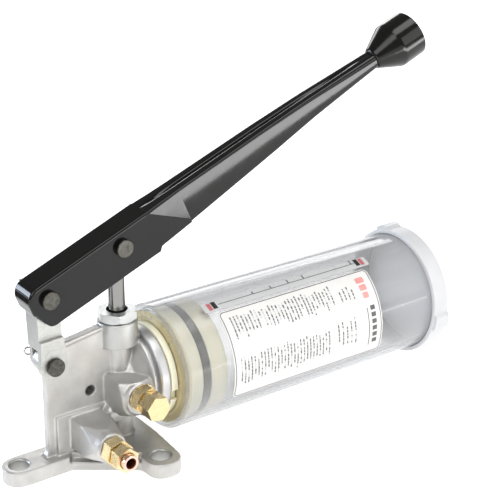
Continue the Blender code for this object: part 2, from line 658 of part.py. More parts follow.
def lever_pieces(black, steel):
    pivot = empty_at("lever_pivot", (0, 0, ROD_PIN_Z), LEVER_DEG)
    front = -PIN_SPACING
    channel_end = front + CHANNEL_LENGTH
    cheek = rounded([
        (front - 10.8, -3.5, 2.0), (front - 5.0, CHEEK_LOW_H[0], 5.0), (channel_end, CHEEK_LOW_H[1], 0.4),
        (channel_end + 1.6, -13.6, 0.4), (channel_end + 8.0, -13.2, 0),
        (channel_end + 8.0, 9.3, 0), (front - 10.8, 9.5, 7.5)], 6)
    lever = prism("lever_arm", black, cheek, -LEVER_HALF, LEVER_HALF, "Y", pivot)
    arm = loft("arm_outer", None, [
        lever_section(channel_end + 1.8, LEVER_HALF - 0.02, 9.28, ARM_LOW_H, 0.1),
        lever_section(channel_end + 24.2, 7.2, 8.8, -12.2, 2.4),
        lever_section(front + 148.8, 6.5, 8.2, -7.9, 2.4),
        lever_section(front + 182.3, 6.1, 7.5, -5.1, 2.0),
        lever_section(KNOB_X[0] + 0.4, 5.5, 5.5, -3.0, 0.4),
    ], pivot)
    tip = turned("arm_tip", None, solid_round(KNOB_X[0] - 6, KNOB_X[0] + 12, ARM_TIP_R), "X",
                 (0, KNOB_LIFT), 16, pivot)
    slot_half = LEVER_HALF - LEVER_WALL
    channel = prism("channel_space", None, [
        (front - 8.8, -2.0), (front - 8.8, 7.3), (channel_end + 4.0, 7.3),
        (channel_end + 4.0, -11.4), (channel_end - 3.0, -20.0), (front - 12.0, -20.0),
        (front - 15.0, -4.4), (front - 11.4, -4.4)], -slot_half, slot_half, "Y", pivot)
    hollow = loft("arm_hollow", None, [
        (channel_end - 2.0, rectangle(-6.2, -11.4, 6.2, 6.0)),
        (channel_end + 24.2, rectangle(-5.2, -10.2, 5.2, 4.4)),
        (front + 148.8, rectangle(-4.5, -5.9, 4.5, 3.8)),
        (front + 200.0, rectangle(-3.9, -2.4, 3.9, 3.2)),
    ], pivot)
    holes = [turned(f"cheek_hole_{i}", None, solid_round(-12, 12, PIN_R + GAP), "Y", (x, 0), 20, pivot)
             for i, x in enumerate((front, 0.0))]
    combine(lever, [arm, tip], "UNION")
    combine(lever, [channel, hollow] + holes, "DIFFERENCE")
    head_y = -LEVER_HALF - GAP - PIN_HEAD_LENGTH
    for name, x, tilt_deg in (("link_pin", front, -60.0), ("rod_pin", 0.0, -50.0)):
        headed_pin(name, black, (x, 0), head_y, LEVER_HALF + 4.2, pivot, tilt_deg)
        split_pin(name.replace("pin", "split_pin"), steel, (x, 0), LEVER_HALF + 2.2, pivot, tilt_deg)
    return pivot


def knob_piece(black, pivot):
    neck, shoulder, end = KNOB_X
    neck += 0.8
    knob = turned("handle_knob", black, [
        (neck, 0), (neck, 5.4), (neck + 1.0, 6.4), (shoulder - 0.8, KNOB_R - 0.4),
        (shoulder + 0.6, KNOB_R), (end - 1.2, KNOB_R), (end, KNOB_R - 1.2), (end, 0)],
        "X", (0, KNOB_LIFT), 40, pivot)
    socket = turned("knob_socket", None, solid_round(neck - 3, neck + 13, ARM_TIP_R + GAP), "X",
                    (0, KNOB_LIFT), 16, pivot)
    combine(knob, [socket], "DIFFERENCE")


def plunger_pieces(polished, steel):
    pivot = empty_at("plunger_axis", (0, 0, ROD_PIN_Z))
    shoulder_z = ROD_PIN_Z - 14.0
    turned("plunger_rod", polished, [
        (ROD_LOW_Z - ROD_PIN_Z, 0), (ROD_LOW_Z - ROD_PIN_Z, 3.9), (ROD_LOW_Z - ROD_PIN_Z + 0.6, ROD_R),
        (shoulder_z - ROD_PIN_Z, ROD_R), (shoulder_z - ROD_PIN_Z, ROD_STUD_R), (-9.0, ROD_STUD_R),
        (-9.0, 0)],
        steps=28, parent=pivot)
    eye = prism("rod_eye", steel, rounded([
        (-EYE_R, -13.7, 1.0), (EYE_R, -13.7, 1.0),
        (EYE_R, EYE_R, EYE_R - 0.1), (-EYE_R, EYE_R, EYE_R - 0.1)], 6),
        -ROD_EYE_HALF, ROD_EYE_HALF, "Y", pivot)
    cross = turned("eye_hole", None, solid_round(-9, 9, PIN_R + GAP), "Y", (0, 0), 20, pivot)
    thread = turned("eye_thread", None, solid_round(-16, -8.7, ROD_STUD_R + GAP), "Z", (0, 0), 16, pivot)
    combine(eye, [cross, thread], "DIFFERENCE")


def main():
    clear_scene()
    casting = make_material("cast_aluminium", (0.60, 0.60, 0.57), 0.9, 0.45)
    zinc = make_material("zinc_plate", (0.66, 0.66, 0.65), 1.0, 0.32)
    polished = make_material("polished_steel", (0.72, 0.72, 0.72), 1.0, 0.15)
    spring_steel = make_material("bright_steel", (0.62, 0.62, 0.62), 1.0, 0.3)
    brass = make_material("brass", (0.80, 0.62, 0.30), 1.0, 0.22)
    copper = make_material("copper", (0.78, 0.42, 0.28), 1.0, 0.25)
    black_paint = make_material("black_gloss_paint", (0.012, 0.012, 0.012), 0.0, 0.12)
    black_oxide = make_material("black_oxide", (0.06, 0.06, 0.055), 0.6, 0.4)
    aluminium = make_material("link_aluminium", (0.72, 0.72, 0.69), 0.9, 0.4)
    clear = make_material("clear_plastic", (0.93, 0.94, 0.95), 0.0, 0.05, 0.25)
    cap_plastic = make_material("grey_translucent_plastic", (0.75, 0.76, 0.77), 0.0, 0.3, 0.6)
    cream = make_material("cream_nylon", (0.90, 0.87, 0.70), 0.0, 0.4)
    paper = make_material("label_paper", (0.93, 0.92, 0.90), 0.0, 0.4)
    film = make_material("scale_film", (0.93, 0.93, 0.92), 0.0, 0.3)
    rubber = make_material("black_rubber", (0.05, 0.05, 0.045), 0.0, 0.6)

    pump_casting(casting)
    gland_pieces(zinc, rubber)
    valve_pieces(spring_steel, brass)
    outlet_pieces(brass, copper)
    bleed_pieces(brass, copper)
    reservoir_pieces(clear, cream, cap_plastic, paper, film, rubber)
    piston_pieces(cream, rubber)
    link_pieces(aluminium, black_oxide, spring_steel)
    lever_axis = lever_pieces(black_paint, spring_steel)
    knob_piece(black_paint, lever_axis)
    plunger_pieces(polished, spring_steel)


main()
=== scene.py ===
"""The looks of the hand-lever grease pump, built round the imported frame.

Lengths in this file are in millimetres, and piece() turns them into metres.
Angles round the reservoir run from its top towards -Y, the side that the label faces.
"""
import json
import math
import random

import bmesh
import bpy
from mathutils import Matrix, Vector


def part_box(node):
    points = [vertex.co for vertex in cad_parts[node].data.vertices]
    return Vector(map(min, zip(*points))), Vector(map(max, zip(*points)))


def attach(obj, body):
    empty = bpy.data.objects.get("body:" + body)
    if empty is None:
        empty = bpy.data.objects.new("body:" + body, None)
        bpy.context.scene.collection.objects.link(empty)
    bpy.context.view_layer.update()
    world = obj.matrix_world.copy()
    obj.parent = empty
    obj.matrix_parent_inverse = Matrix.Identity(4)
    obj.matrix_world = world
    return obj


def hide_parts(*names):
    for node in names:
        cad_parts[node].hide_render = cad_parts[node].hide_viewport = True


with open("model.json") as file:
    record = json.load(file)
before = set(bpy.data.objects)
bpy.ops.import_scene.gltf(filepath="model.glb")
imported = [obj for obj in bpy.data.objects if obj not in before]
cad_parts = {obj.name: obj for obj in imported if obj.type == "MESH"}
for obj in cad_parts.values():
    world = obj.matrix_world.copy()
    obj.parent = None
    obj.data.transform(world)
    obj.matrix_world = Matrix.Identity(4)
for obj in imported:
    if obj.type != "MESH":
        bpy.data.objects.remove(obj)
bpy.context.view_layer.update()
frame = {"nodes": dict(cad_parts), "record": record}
NODES = frame["nodes"]
BODY_OF = {node: body for body, nodes in frame["record"]["behaviour"]["bodies"].items()
           for node in nodes}
MM = 0.001


def corners(node):
    low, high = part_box(node)
    return low / MM, high / MM


def middle(node):
    low, high = corners(node)
    return (low + high) / 2


# ---------------------------------------------------------------- driving places, from the frame

ROD_PIN = middle("rod_pin")
LINK_PIN = middle("link_pin")
EAR_PIN = middle("ear_pin")
TANK_Z = middle("reservoir_tube").z
TUBE_LOW, TUBE_HIGH = (corner.x for corner in corners("reservoir_tube"))
TUBE_R = (corners("reservoir_tube")[1].y - corners("reservoir_tube")[0].y) / 2
BLEED = middle("bleed_washer")
OUTLET = middle("outlet_sleeve")
PIN_SPACING = math.hypot(ROD_PIN.x - LINK_PIN.x, ROD_PIN.z - LINK_PIN.z)
LEVER_TILT = math.atan2(ROD_PIN.z - LINK_PIN.z, ROD_PIN.x - LINK_PIN.x)
LEVER_FRAME = (Matrix.Translation((ROD_PIN.x, 0, ROD_PIN.z))
               @ Matrix.Rotation(-LEVER_TILT, 4, "Y"))
TANK_FRAME = Matrix.Translation((0, 0, TANK_Z))
LINK_TILT = math.atan2(LINK_PIN.z - EAR_PIN.z, LINK_PIN.x - EAR_PIN.x) - math.pi / 2
LINK_LENGTH = math.hypot(LINK_PIN.x - EAR_PIN.x, LINK_PIN.z - EAR_PIN.z)
LINK_FRAME = Matrix.Translation((EAR_PIN.x, 0, EAR_PIN.z)) @ Matrix.Rotation(-LINK_TILT, 4, "Y")


# ---------------------------------------------------------------- mesh helpers

def at(axis, along, across, up):
    """A point from its place along an axis and its two places across it."""
    if axis == "X":
        return Vector((along, across, up))
    if axis == "Y":
        return Vector((across, along, up))
    return Vector((across, up, along))


def lathe(profile, axis="Z", centre=(0, 0), steps=72, ring=False):
    """Revolve (along, radius) points about an axis through centre.

    A ring's profile is a closed loop. Any other profile starts and ends on the axis.
    """
    builder = bmesh.new()
    verts = [builder.verts.new(at(axis, along, centre[0] + radius, centre[1]))
             for along, radius in profile]
    pairs = list(zip(verts, verts[1:] + verts[:1])) if ring else list(zip(verts, verts[1:]))
    edges = [builder.edges.new(pair) for pair in pairs]
    bmesh.ops.spin(builder, geom=verts + edges, cent=at(axis, 0, *centre), axis=at(axis, 1, 0, 0),
                   angle=2 * math.pi, steps=steps, use_merge=True, use_duplicate=False)
    bmesh.ops.remove_doubles(builder, verts=builder.verts, dist=1e-4)
    return builder


def softened(points, radius, ring=False, steps=3):
    """A lathe profile whose corners are turned into small arcs."""
    result = []
    for i, point in enumerate(points):
        if not ring and i in (0, len(points) - 1):
            result.append(point)
            continue
        corner = Vector(point)
        before = Vector(points[i - 1]) - corner
        after = Vector(points[(i + 1) % len(points)]) - corner
        reach = min(radius, before.length * 0.45, after.length * 0.45)
        start = corner + before.normalized() * reach
        end = corner + after.normalized() * reach
        for step in range(steps + 1):
            t = step / steps
            result.append(tuple(start * (1 - t) ** 2 + corner * (2 * t * (1 - t)) + end * t ** 2))
    return result


def tube_profile(low, high, inner, outer, radius=0.2):
    return softened([(low, inner), (low, outer), (high, outer), (high, inner)], radius, True)


def prism(outline, low, high, axis="Y"):
    """A solid between low and high on an axis, with the outline as its section."""
    builder = bmesh.new()
    face = builder.faces.new([builder.verts.new(at(axis, low, *point)) for point in outline])
    made = bmesh.ops.extrude_face_region(builder, geom=[face])["geom"]
    moved = [item for item in made if isinstance(item, bmesh.types.BMVert)]
    bmesh.ops.translate(builder, verts=moved, vec=at(axis, high - low, 0, 0))
    bmesh.ops.recalc_face_normals(builder, faces=builder.faces)
    return builder


def rounded(points, steps=6):
    """An outline whose corners (x, y, radius) are turned into arcs."""
    outline = []
    for i, (x, y, radius) in enumerate(points):
        corner = Vector((x, y))
        before = (Vector(points[i - 1][:2]) - corner).normalized()
        after = (Vector(points[(i + 1) % len(points)][:2]) - corner).normalized()
        half = before.angle(after) / 2
        if radius == 0:
            outline.append(tuple(corner))
            continue
        centre = corner + (before + after).normalized() * (radius / math.sin(half))
        start = corner + before * (radius / math.tan(half)) - centre
        sweep = math.pi - 2 * half
        if before.x * after.y - before.y * after.x > 0:
            sweep = -sweep
        for step in range(steps + 1):
            spoke = start.copy()
            spoke.rotate(Matrix.Rotation(sweep * step / steps, 2))
            outline.append(tuple(centre + spoke))
    return outline


def circle(radius, steps=32):
    return [(radius * math.cos(angle), radius * math.sin(angle))
            for angle in (2 * math.pi * i / steps for i in range(steps))]


def loft(loops):
    """Join point loops of equal length into a capped solid."""
    builder = bmesh.new()
    rows = [[builder.verts.new(point) for point in loop] for loop in loops]
    for near, far in zip(rows, rows[1:]):
        for i, vert in enumerate(near):
            j = (i + 1) % len(near)
            builder.faces.new((vert, near[j], far[j], far[i]))
    builder.faces.new(rows[0])
    builder.faces.new(rows[-1])
    bmesh.ops.recalc_face_normals(builder, faces=builder.faces)
    return builder


def absorb(total, builder):
    """Move a builder's mesh into total."""
    mesh = bpy.data.meshes.new("part")
    builder.to_mesh(mesh)
    builder.free()
    total.from_mesh(mesh)
    bpy.data.meshes.remove(mesh)


def merged(builders):
    total = bmesh.new()
    for builder in builders:
        absorb(total, builder)
    return total


def helper(builder):
    """A builder's mesh as an object that modifiers can work on."""
    bmesh.ops.recalc_face_normals(builder, faces=builder.faces)
    mesh = bpy.data.meshes.new("helper")
    builder.to_mesh(mesh)
    builder.free()
    thing = bpy.data.objects.new("helper", mesh)
    bpy.context.scene.collection.objects.link(thing)
    return thing


def evaluated(thing):
    """A new mesh builder with the thing's modifiers applied. The thing is removed."""
    bpy.context.view_layer.update()
    shape = thing.evaluated_get(bpy.context.evaluated_depsgraph_get())
    builder = bmesh.new()
    builder.from_mesh(shape.to_mesh())
    shape.to_mesh_clear()
    mesh = thing.data
    bpy.data.objects.remove(thing)
    bpy.data.meshes.remove(mesh)
    return builder


def boolean(builder, operation, *others):
    """The builder after a boolean operation with each of the others."""
    body = helper(builder)
    cutters = [helper(other) for other in others]
    for cutter in cutters:
        modifier = body.modifiers.new("boolean", "BOOLEAN")
        modifier.operation = operation
        modifier.object = cutter
        modifier.solver = "EXACT"
    result = evaluated(body)
    for cutter in cutters:
        bpy.data.objects.remove(cutter)
    return result


def node_shape(node):
    """A CAD node's solid in millimetres, with its flat faces joined again."""
    builder = bmesh.new()
    builder.from_mesh(NODES[node].data)
    bmesh.ops.scale(builder, vec=(1 / MM,) * 3, verts=builder.verts)
    bmesh.ops.remove_doubles(builder, verts=builder.verts, dist=1e-3)
    bmesh.ops.dissolve_limit(builder, angle_limit=math.radians(0.6), verts=builder.verts,
                             edges=builder.edges)
    return builder


def piece(name, builder, look, body, replaces=(), place=None, bevel=0.0, sharp_deg=35):
    """Turn a shape in millimetres into a piece that rides on a body and stands for CAD nodes."""
    bmesh.ops.recalc_face_normals(builder, faces=builder.faces)
    if place:
        bmesh.ops.transform(builder, matrix=place, verts=builder.verts)
    bmesh.ops.scale(builder, vec=(MM,) * 3, verts=builder.verts)
    mesh = bpy.data.meshes.new(name)
    builder.to_mesh(mesh)
    builder.free()
    looks = look if isinstance(look, (list, tuple)) else [look]
    for one in looks:
        mesh.materials.append(one)
    mesh.shade_smooth()
    thing = bpy.data.objects.new(name, mesh)
    bpy.context.scene.collection.objects.link(thing)
    if bevel:
        edge = thing.modifiers.new("edge", "BEVEL")
        edge.width = bevel * MM
        edge.segments = 2
        edge.limit_method = "ANGLE"
        edge.angle_limit = math.radians(28)
        even = thing.modifiers.new("even", "WEIGHTED_NORMAL")
        even.keep_sharp = True
    else:
        mesh.set_sharp_from_angle(angle=math.radians(sharp_deg))
    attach(thing, body)
    if replaces:
        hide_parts(*replaces)


def refined(node, look, bevel):
    """A CAD node's own shape with its edges broken."""
    piece(node + "_finished", node_shape(node), look, BODY_OF[node], [node], bevel=bevel)


# ---------------------------------------------------------------- materials

class Look:
    """A material under construction: a Principled shader fed by noise in the piece's own space."""

    def __init__(self, name, **sockets):
        self.material = bpy.data.materials.new(name)
        self.material.use_nodes = True
        self.tree = self.material.node_tree
        self.shader = self.tree.nodes["Principled BSDF"]
        for socket, value in sockets.items():
            self.shader.inputs[socket.replace("_", " ")].default_value = value
        self.space = self.tree.nodes.new("ShaderNodeTexCoord").outputs["Object"]
        self.height = None

    def noise(self, size_mm, stretch=(1, 1, 1), detail=3.0):
        """Noise with features about size_mm across, and longer along an axis of low stretch."""
        mapping = self.tree.nodes.new("ShaderNodeMapping")
        mapping.inputs["Scale"].default_value = [axis / (size_mm * MM) for axis in stretch]
        texture = self.tree.nodes.new("ShaderNodeTexNoise")
        texture.inputs["Scale"].default_value = 1.0
        texture.inputs["Detail"].default_value = detail
        self.tree.links.new(self.space, mapping.inputs["Vector"])
        self.tree.links.new(mapping.outputs["Vector"], texture.inputs["Vector"])
        return texture.outputs["Fac"]

    def ranged(self, source, low, high, from_low=0.3, from_high=0.7):
        """Map a source's middle values to low..high."""
        node = self.tree.nodes.new("ShaderNodeMapRange")
        node.inputs["From Min"].default_value = from_low
        node.inputs["From Max"].default_value = from_high
        node.inputs["To Min"].default_value = low
        node.inputs["To Max"].default_value = high
        self.tree.links.new(source, node.inputs["Value"])
        return node.outputs["Result"]

    def color(self, dark, light, source):
        """Blend the base colour between two tones."""
        mix = self.tree.nodes.new("ShaderNodeMix")
        mix.data_type = "RGBA"
        mix.inputs["A"].default_value = (*dark, 1)
        mix.inputs["B"].default_value = (*light, 1)
        self.tree.links.new(self.ranged(source, 0, 1), mix.inputs["Factor"])
        self.tree.links.new(mix.outputs["Result"], self.shader.inputs["Base Color"])
        return self

    def roughness(self, low, high, source):
        self.tree.links.new(self.ranged(source, low, high), self.shader.inputs["Roughness"])
        return self

    def bump(self, source, depth_mm):
        """Add a layer of relief on top of the layers before it."""
        node = self.tree.nodes.new("ShaderNodeBump")
        node.inputs["Strength"].default_value = 1.0
        node.inputs["Distance"].default_value = depth_mm * MM
        self.tree.links.new(source, node.inputs["Height"])
        if self.height:
            self.tree.links.new(self.height, node.inputs["Normal"])
        self.height = node.outputs["Normal"]
        self.tree.links.new(self.height, self.shader.inputs["Normal"])
        return self


def tones(color, spread):
    """A darker and a lighter tone of a colour."""
    return [tuple(channel * (1 + side * spread) for channel in color) for side in (-1, 1)]


def metal(name, color, rough, spread, grain_mm=0.6, depth_mm=0.01, stretch=(1, 1, 1),
          patch_mm=9):
    look = Look(name, Metallic=1.0)
    look.color(*tones(color, spread), look.noise(patch_mm, detail=4))
    look.roughness(rough * 0.8, rough * 1.25, look.noise(grain_mm * 3, stretch))
    look.bump(look.noise(grain_mm, stretch), depth_mm)
    return look.material


def plastic(name, color, rough, spread, grain_mm=0.8, depth_mm=0.006, **sockets):
    patch_mm, smear_mm = 14, 6
    look = Look(name, **sockets)
    look.color(*tones(color, spread), look.noise(patch_mm))
    look.roughness(rough * 0.85, rough * 1.2, look.noise(smear_mm))
    look.bump(look.noise(grain_mm), depth_mm)
    return look.material


def cast_look():
    """Shot-blasted sand casting: a matt grain, faint pits and slow changes of tone."""
    look = Look("cast_aluminium", Metallic=0.86)
    look.color((0.50, 0.49, 0.475), (0.61, 0.60, 0.58), look.noise(11, detail=5))
    look.roughness(0.40, 0.54, look.noise(2.5))
    look.bump(look.noise(3.5, detail=2), 0.05)
    look.bump(look.noise(0.55, detail=4), 0.05)
    return look.material


def clear_look():
    """Clear acrylic: a faint haze that thickens where the surface turns away from the eye."""
    look = Look("clear_plastic", Specular_IOR_Level=0.6, Coat_Weight=0.25, Coat_Roughness=0.05)
    look.shader.inputs["Base Color"].default_value = (0.47, 0.475, 0.485, 1)
    look.roughness(0.10, 0.18, look.noise(16, (0.3, 1, 1)))
    turned_away = look.tree.nodes.new("ShaderNodeLayerWeight")
    turned_away.inputs["Blend"].default_value = 0.35
    face_on, edge_on = 0.16, 0.88
    look.tree.links.new(look.ranged(turned_away.outputs["Facing"], face_on, edge_on, 0.1, 0.95),
                        look.shader.inputs["Alpha"])
    return look.material


LOOKS = {
    "cast": cast_look(),
    "machined": metal("machined_aluminium", (0.60, 0.60, 0.605), 0.42, 0.04, 0.35, 0.012,
                      (8, 1, 1)),
    "faced": metal("faced_aluminium", (0.52, 0.52, 0.505), 0.44, 0.04, 0.5, 0.012, (1, 1, 5)),
    "link": metal("link_aluminium", (0.52, 0.52, 0.495), 0.52, 0.05, 0.5, 0.02),
    "zinc": metal("zinc_plate", (0.58, 0.59, 0.58), 0.40, 0.08, 0.7, 0.012),
    "polished": metal("polished_steel", (0.27, 0.265, 0.255), 0.18, 0.03, 0.3, 0.003, (1, 1, 10)),
    "steel": metal("bright_steel", (0.62, 0.62, 0.62), 0.26, 0.05, 0.4, 0.01),
    "brass": metal("brass", (0.78, 0.63, 0.36), 0.27, 0.05, 0.4, 0.003, (1, 3, 1), 5),
    "copper": metal("copper", (0.88, 0.60, 0.49), 0.26, 0.08, 0.4, 0.004, (1, 3, 1), 5),
    "oxide": metal("black_oxide", (0.085, 0.082, 0.072), 0.34, 0.35, 0.5, 0.03, patch_mm=2.2),
    "paint": plastic("black_gloss_paint", (0.006, 0.006, 0.0055), 0.11, 0.15, 1.6, 0.006,
                     Specular_IOR_Level=0.36),
    "knob": plastic("black_knob_plastic", (0.006, 0.006, 0.005), 0.15, 0.15, 2.0, 0.006,
                    Specular_IOR_Level=0.36),
    "clear": clear_look(),
    "cap": plastic("cap_plastic", (0.66, 0.665, 0.68), 0.40, 0.03, 1.5, 0.01,
                   Specular_IOR_Level=0.35),
    "cream": plastic("cream_plastic", (0.95, 0.91, 0.72), 0.36, 0.02,
                     Subsurface_Weight=0.15, Subsurface_Scale=0.004),
    # Painted shade: this ochre is the cream piston's face as it looks in shadow through the tube's
    # clear shoulder, given to the neck wall.
    "ochre_painted_shade": plastic("neck_wall_painted_shade", (0.62, 0.54, 0.31), 0.3, 0.1, Transmission_Weight=0.15),
    "seal": plastic("seal_rubber", (0.10, 0.095, 0.075), 0.38, 0.1),
    "rubber": plastic("rubber", (0.03, 0.03, 0.028), 0.6, 0.1),
    "paper": plastic("label_film", (0.80, 0.79, 0.77), 0.33, 0.01, 3.0, 0.004),
    "film": plastic("scale_film", (0.60, 0.61, 0.61), 0.3, 0.02, 3.0, 0.004),
    "ink": plastic("print_black", (0.02, 0.02, 0.02), 0.35, 0.1),
    "grey_ink": plastic("print_grey", (0.11, 0.11, 0.108), 0.4, 0.25),
    "red_ink": plastic("print_red", (0.52, 0.13, 0.14), 0.4, 0.1),
    "pink_ink": plastic("print_pink", (0.80, 0.33, 0.31), 0.4, 0.12),
    "bore": metal("dark_bore", (0.30, 0.10, 0.05), 0.5, 0.2),
}


# ---------------------------------------------------------------- casting

VOXEL_MM = 0.5
SMOOTH_ROUNDS = 2
PLATE_TOP = 8.2
WEB_EDGE_X = -45.2
LEFT_HOLE_INSET = 9.05
SIDE_HOLES = ((3.6, -34.6), (3.6, 34.6))
BORED_R = 6.9
BOSS_END_Y = -22.3
HEAD_TOP_Z = 75.2
EAR_SIDE_Y = 4.2


def root_fillet(x, z, reach, half_y):
    """A concave fillet between the plate's top at z and the web's left edge at x."""
    bury = 1.0
    arc = [(x - (reach - reach * math.cos(a)), z + reach - reach * math.sin(a))
           for a in (math.radians(deg) for deg in range(0, 91, 15))]
    return prism([(x + bury, z - bury), (x + bury, z + reach)] + arc + [(x - reach, z - bury)],
                 -half_y, half_y)


def is_cut(face, holes):
    """Whether a face is machined: foot holes, bosses' ends, the ear's sides, the head's top."""
    spot, normal = face.calc_center_median(), face.normal
    near_hole = min((Vector((spot.x, spot.y)) - hole).length for hole in holes)
    bored = near_hole < BORED_R and 0.6 < spot.z < PLATE_TOP + 0.5
    boss_end = normal.y < -0.8 and spot.y < BOSS_END_Y and spot.z > 9.0
    ear_side = (abs(spot.y) > EAR_SIDE_Y and normal.y ** 2 > 0.9
                and spot.x < -36 and spot.z > 56)
    return bored or boss_end or ear_side or spot.z > HEAD_TOP_Z


def pump_body():
    """The CAD solid, with a rib along the web's top, a root fillet, and edges rounded as cast."""
    rib = prism([(-36.4, 68.9), (-7.0, 73.3), (-7.0, 75.0), (-35.9, 71.1)], -2.75, 2.75)
    body = node_shape("pump_casting")
    for extra in (rib, root_fillet(WEB_EDGE_X, PLATE_TOP, 3.6, 2.2)):
        absorb(body, extra)
    bmesh.ops.triangulate(body, faces=body.faces)
    shape = helper(body)
    remesh = shape.modifiers.new("remesh", "REMESH")
    remesh.mode = "VOXEL"
    remesh.voxel_size = VOXEL_MM
    smooth = shape.modifiers.new("smooth", "SMOOTH")
    smooth.factor = 0.5
    smooth.iterations = SMOOTH_ROUNDS
    body = evaluated(shape)
    left_hole = (corners("pump_casting")[0].x + LEFT_HOLE_INSET, 0)
    holes = [Vector(spot) for spot in (left_hole, *SIDE_HOLES)]
    for face in body.faces:
        if is_cut(face, holes):
            face.material_index = 1
    piece("cast_body", body, [LOOKS["cast"], LOOKS["faced"]], "root", ["pump_casting"],
          sharp_deg=180)


def machined_rings():
    """The turned faces of the casting: the flange's rim and the head, with crisp edges."""
    skin = 0.10
    flange_r = corners("reservoir_collar")[1].y - 0.4
    bead_r, groove_r, bore_r, face_x = 23.4, 21.6, 17.4, 17.0
    rim = softened([
        (7.9, 19.0), (7.9, 23.0), (8.3, bead_r + skin), (9.3, bead_r + skin),
        (9.7, groove_r + skin), (10.9, groove_r + skin), (11.3, flange_r - 0.6),
        (12.0, flange_r + skin), (16.3, flange_r + skin), (face_x + skin, flange_r - 0.6),
        (face_x + skin, bore_r), (12.0, bore_r)], 0.25, True)
    piece("flange_rim", lathe(rim, "X", (0, TANK_Z), 120, True), LOOKS["machined"], "root")
    head_low, head_top = 61.4, corners("pump_casting")[1].z
    head_r, recess_r, inner_r = 10.9, 8.5, 6.0
    head = softened([
        (head_low, inner_r), (head_low, 9.4), (head_low + 0.6, head_r + skin),
        (head_top - 0.5, head_r + skin), (head_top + skin, 10.4), (head_top + skin, recess_r),
        (head_top - 2, recess_r), (head_top - 2, inner_r)], 0.3, True)
    piece("head_skin", lathe(head, "Z", (0, 0), 96, True), LOOKS["faced"], "root")


# ---------------------------------------------------------------- lever

CHANNEL_END = 18.5
NOSE_X = -PIN_SPACING - 10.8
CHANNEL_HALF = 8.5
FOLD_END = 41.0
ARM_END = 184.1
ARM_RINGS = 44
KNOB_LIFT = 1.3
KNOB_R = 13.5
SHEET_THICK = 2.0
PIN_HOLE_R = 3.3


def cross_hole(radius, x, z):
    """A cutter along Y, longer than the lever and the link are wide."""
    return lathe([(-12, 0), (-12, radius), (12, radius), (12, 0)], "Y", (x, z), 40)


def lever_channel():
    """The open channel: rounded cheeks, and a top that bends down over the front."""
    front = -PIN_SPACING
    outline = rounded([
        (NOSE_X, -3.5, 2.2), (front - 5.0, -15.2, 5.0), (CHANNEL_END, -15.8, 0.5),
        (CHANNEL_END + 1.7, -13.5, 0.4), (FOLD_END + 0.3, -12.0, 0), (FOLD_END + 0.3, -10.4, 0),
        (CHANNEL_END + 1.5, 8.2, 0), (CHANNEL_END + 1.3, 9.3, 0),
        (NOSE_X, 9.5, 7.5)], 10)
    shape = prism(outline, -CHANNEL_HALF, CHANNEL_HALF)
    edges = []
    for edge in shape.edges:
        near, far = (vert.co for vert in edge.verts)
        lowest, farthest = min(near.z, far.z), max(near.x, far.x)
        on_side = abs(near.y - far.y) < 0.01 and lowest > -4.6 and farthest < CHANNEL_END + 2
        if on_side and (lowest > 5 or farthest < NOSE_X + 4):
            edges.append(edge)
    bmesh.ops.bevel(shape, geom=edges, offset=1.5, segments=5, profile=0.5, affect="EDGES")
    half = CHANNEL_HALF - SHEET_THICK
    space = prism([(front - 8.8, -2.0), (front - 8.8, 7.3), (FOLD_END + 9, 7.3),
                   (FOLD_END + 9, -20.0), (front - 12.0, -20.0), (front - 15.0, -4.4),
                   (front - 11.4, -4.4)], -half, half)
    holes = [cross_hole(PIN_HOLE_R, x, 0) for x in (front, 0.0)]
    shape = boolean(shape, "DIFFERENCE", space, *holes)
    piece("lever_channel", shape, LOOKS["paint"], "lever", place=LEVER_FRAME, bevel=0.28)


def arm_section(x, half, low_half, top, bottom, groove, corner):
    """A rounded box whose top rolls in from both sides to a groove along the middle."""
    loop = []
    soft = min(corner, half * 0.7)
    for centre_y, centre_z, start in ((-low_half + soft, bottom + soft, 180),
                                      (low_half - soft, bottom + soft, 270)):
        for step in range(6):
            a = math.radians(start + step * 18)
            loop.append((x, centre_y + soft * math.cos(a), centre_z + soft * math.sin(a)))
    for step in range(6):
        a = math.radians(step * 15)
        loop.append((x, half - soft + soft * math.cos(a), top - soft + soft * math.sin(a)))
    groove_half = 0.95
    for step in range(-9, 10):
        y = -step / 9 * (half - soft) * 0.97
        dip = groove * math.exp(-(y / groove_half) ** 2)
        loop.append((x, y, top - dip))
    for step in range(6):
        a = math.radians(105 + step * 15)
        loop.append((x, -half + soft + soft * math.cos(a), top - soft + soft * math.sin(a)))
    return loop


def between(stations, x):
    """The values at x, read along straight lines between stations (x, values...)."""
    for near, far in zip(stations, stations[1:]):
        if x <= far[0]:
            t = (x - near[0]) / (far[0] - near[0])
            return [a + (b - a) * t for a, b in zip(near[1:], far[1:])]
    return list(stations[-1][1:])


def lever_arm():
    """The closed, tapering arm."""
    stations = [
        # x, half width at the top, at the bottom, top, bottom, groove depth, corner radius
        (CHANNEL_END + 1.0, 8.1, 8.3, 9.1, -13.1, 0.0, 1.2),
        (FOLD_END - 10, 7.5, 8.4, 8.9, -12.5, 1.0, 1.3),
        (FOLD_END, 7.15, 8.45, 8.8, -12.0, 2.2, 1.3),
        (101.3, 6.5, 6.9, 8.2, -7.9, 2.2, 1.6),
        (134.8, 6.1, 6.3, 7.5, -5.1, 1.4, 2.0),
        (160.0, 5.8, 5.9, 6.5, -4.0, 0.5, 2.6),
        (ARM_END, 5.5, 5.5, 5.5, -3.0, 0.0, 3.0)]
    loops = []
    for i in range(ARM_RINGS + 1):
        x = stations[0][0] + (ARM_END - stations[0][0]) * i / ARM_RINGS
        loops.append(arm_section(x, *between(stations, x)))
    piece("lever_arm_tube", loft(loops), LOOKS["paint"], "lever", ["lever_arm"],
          place=LEVER_FRAME, sharp_deg=50)


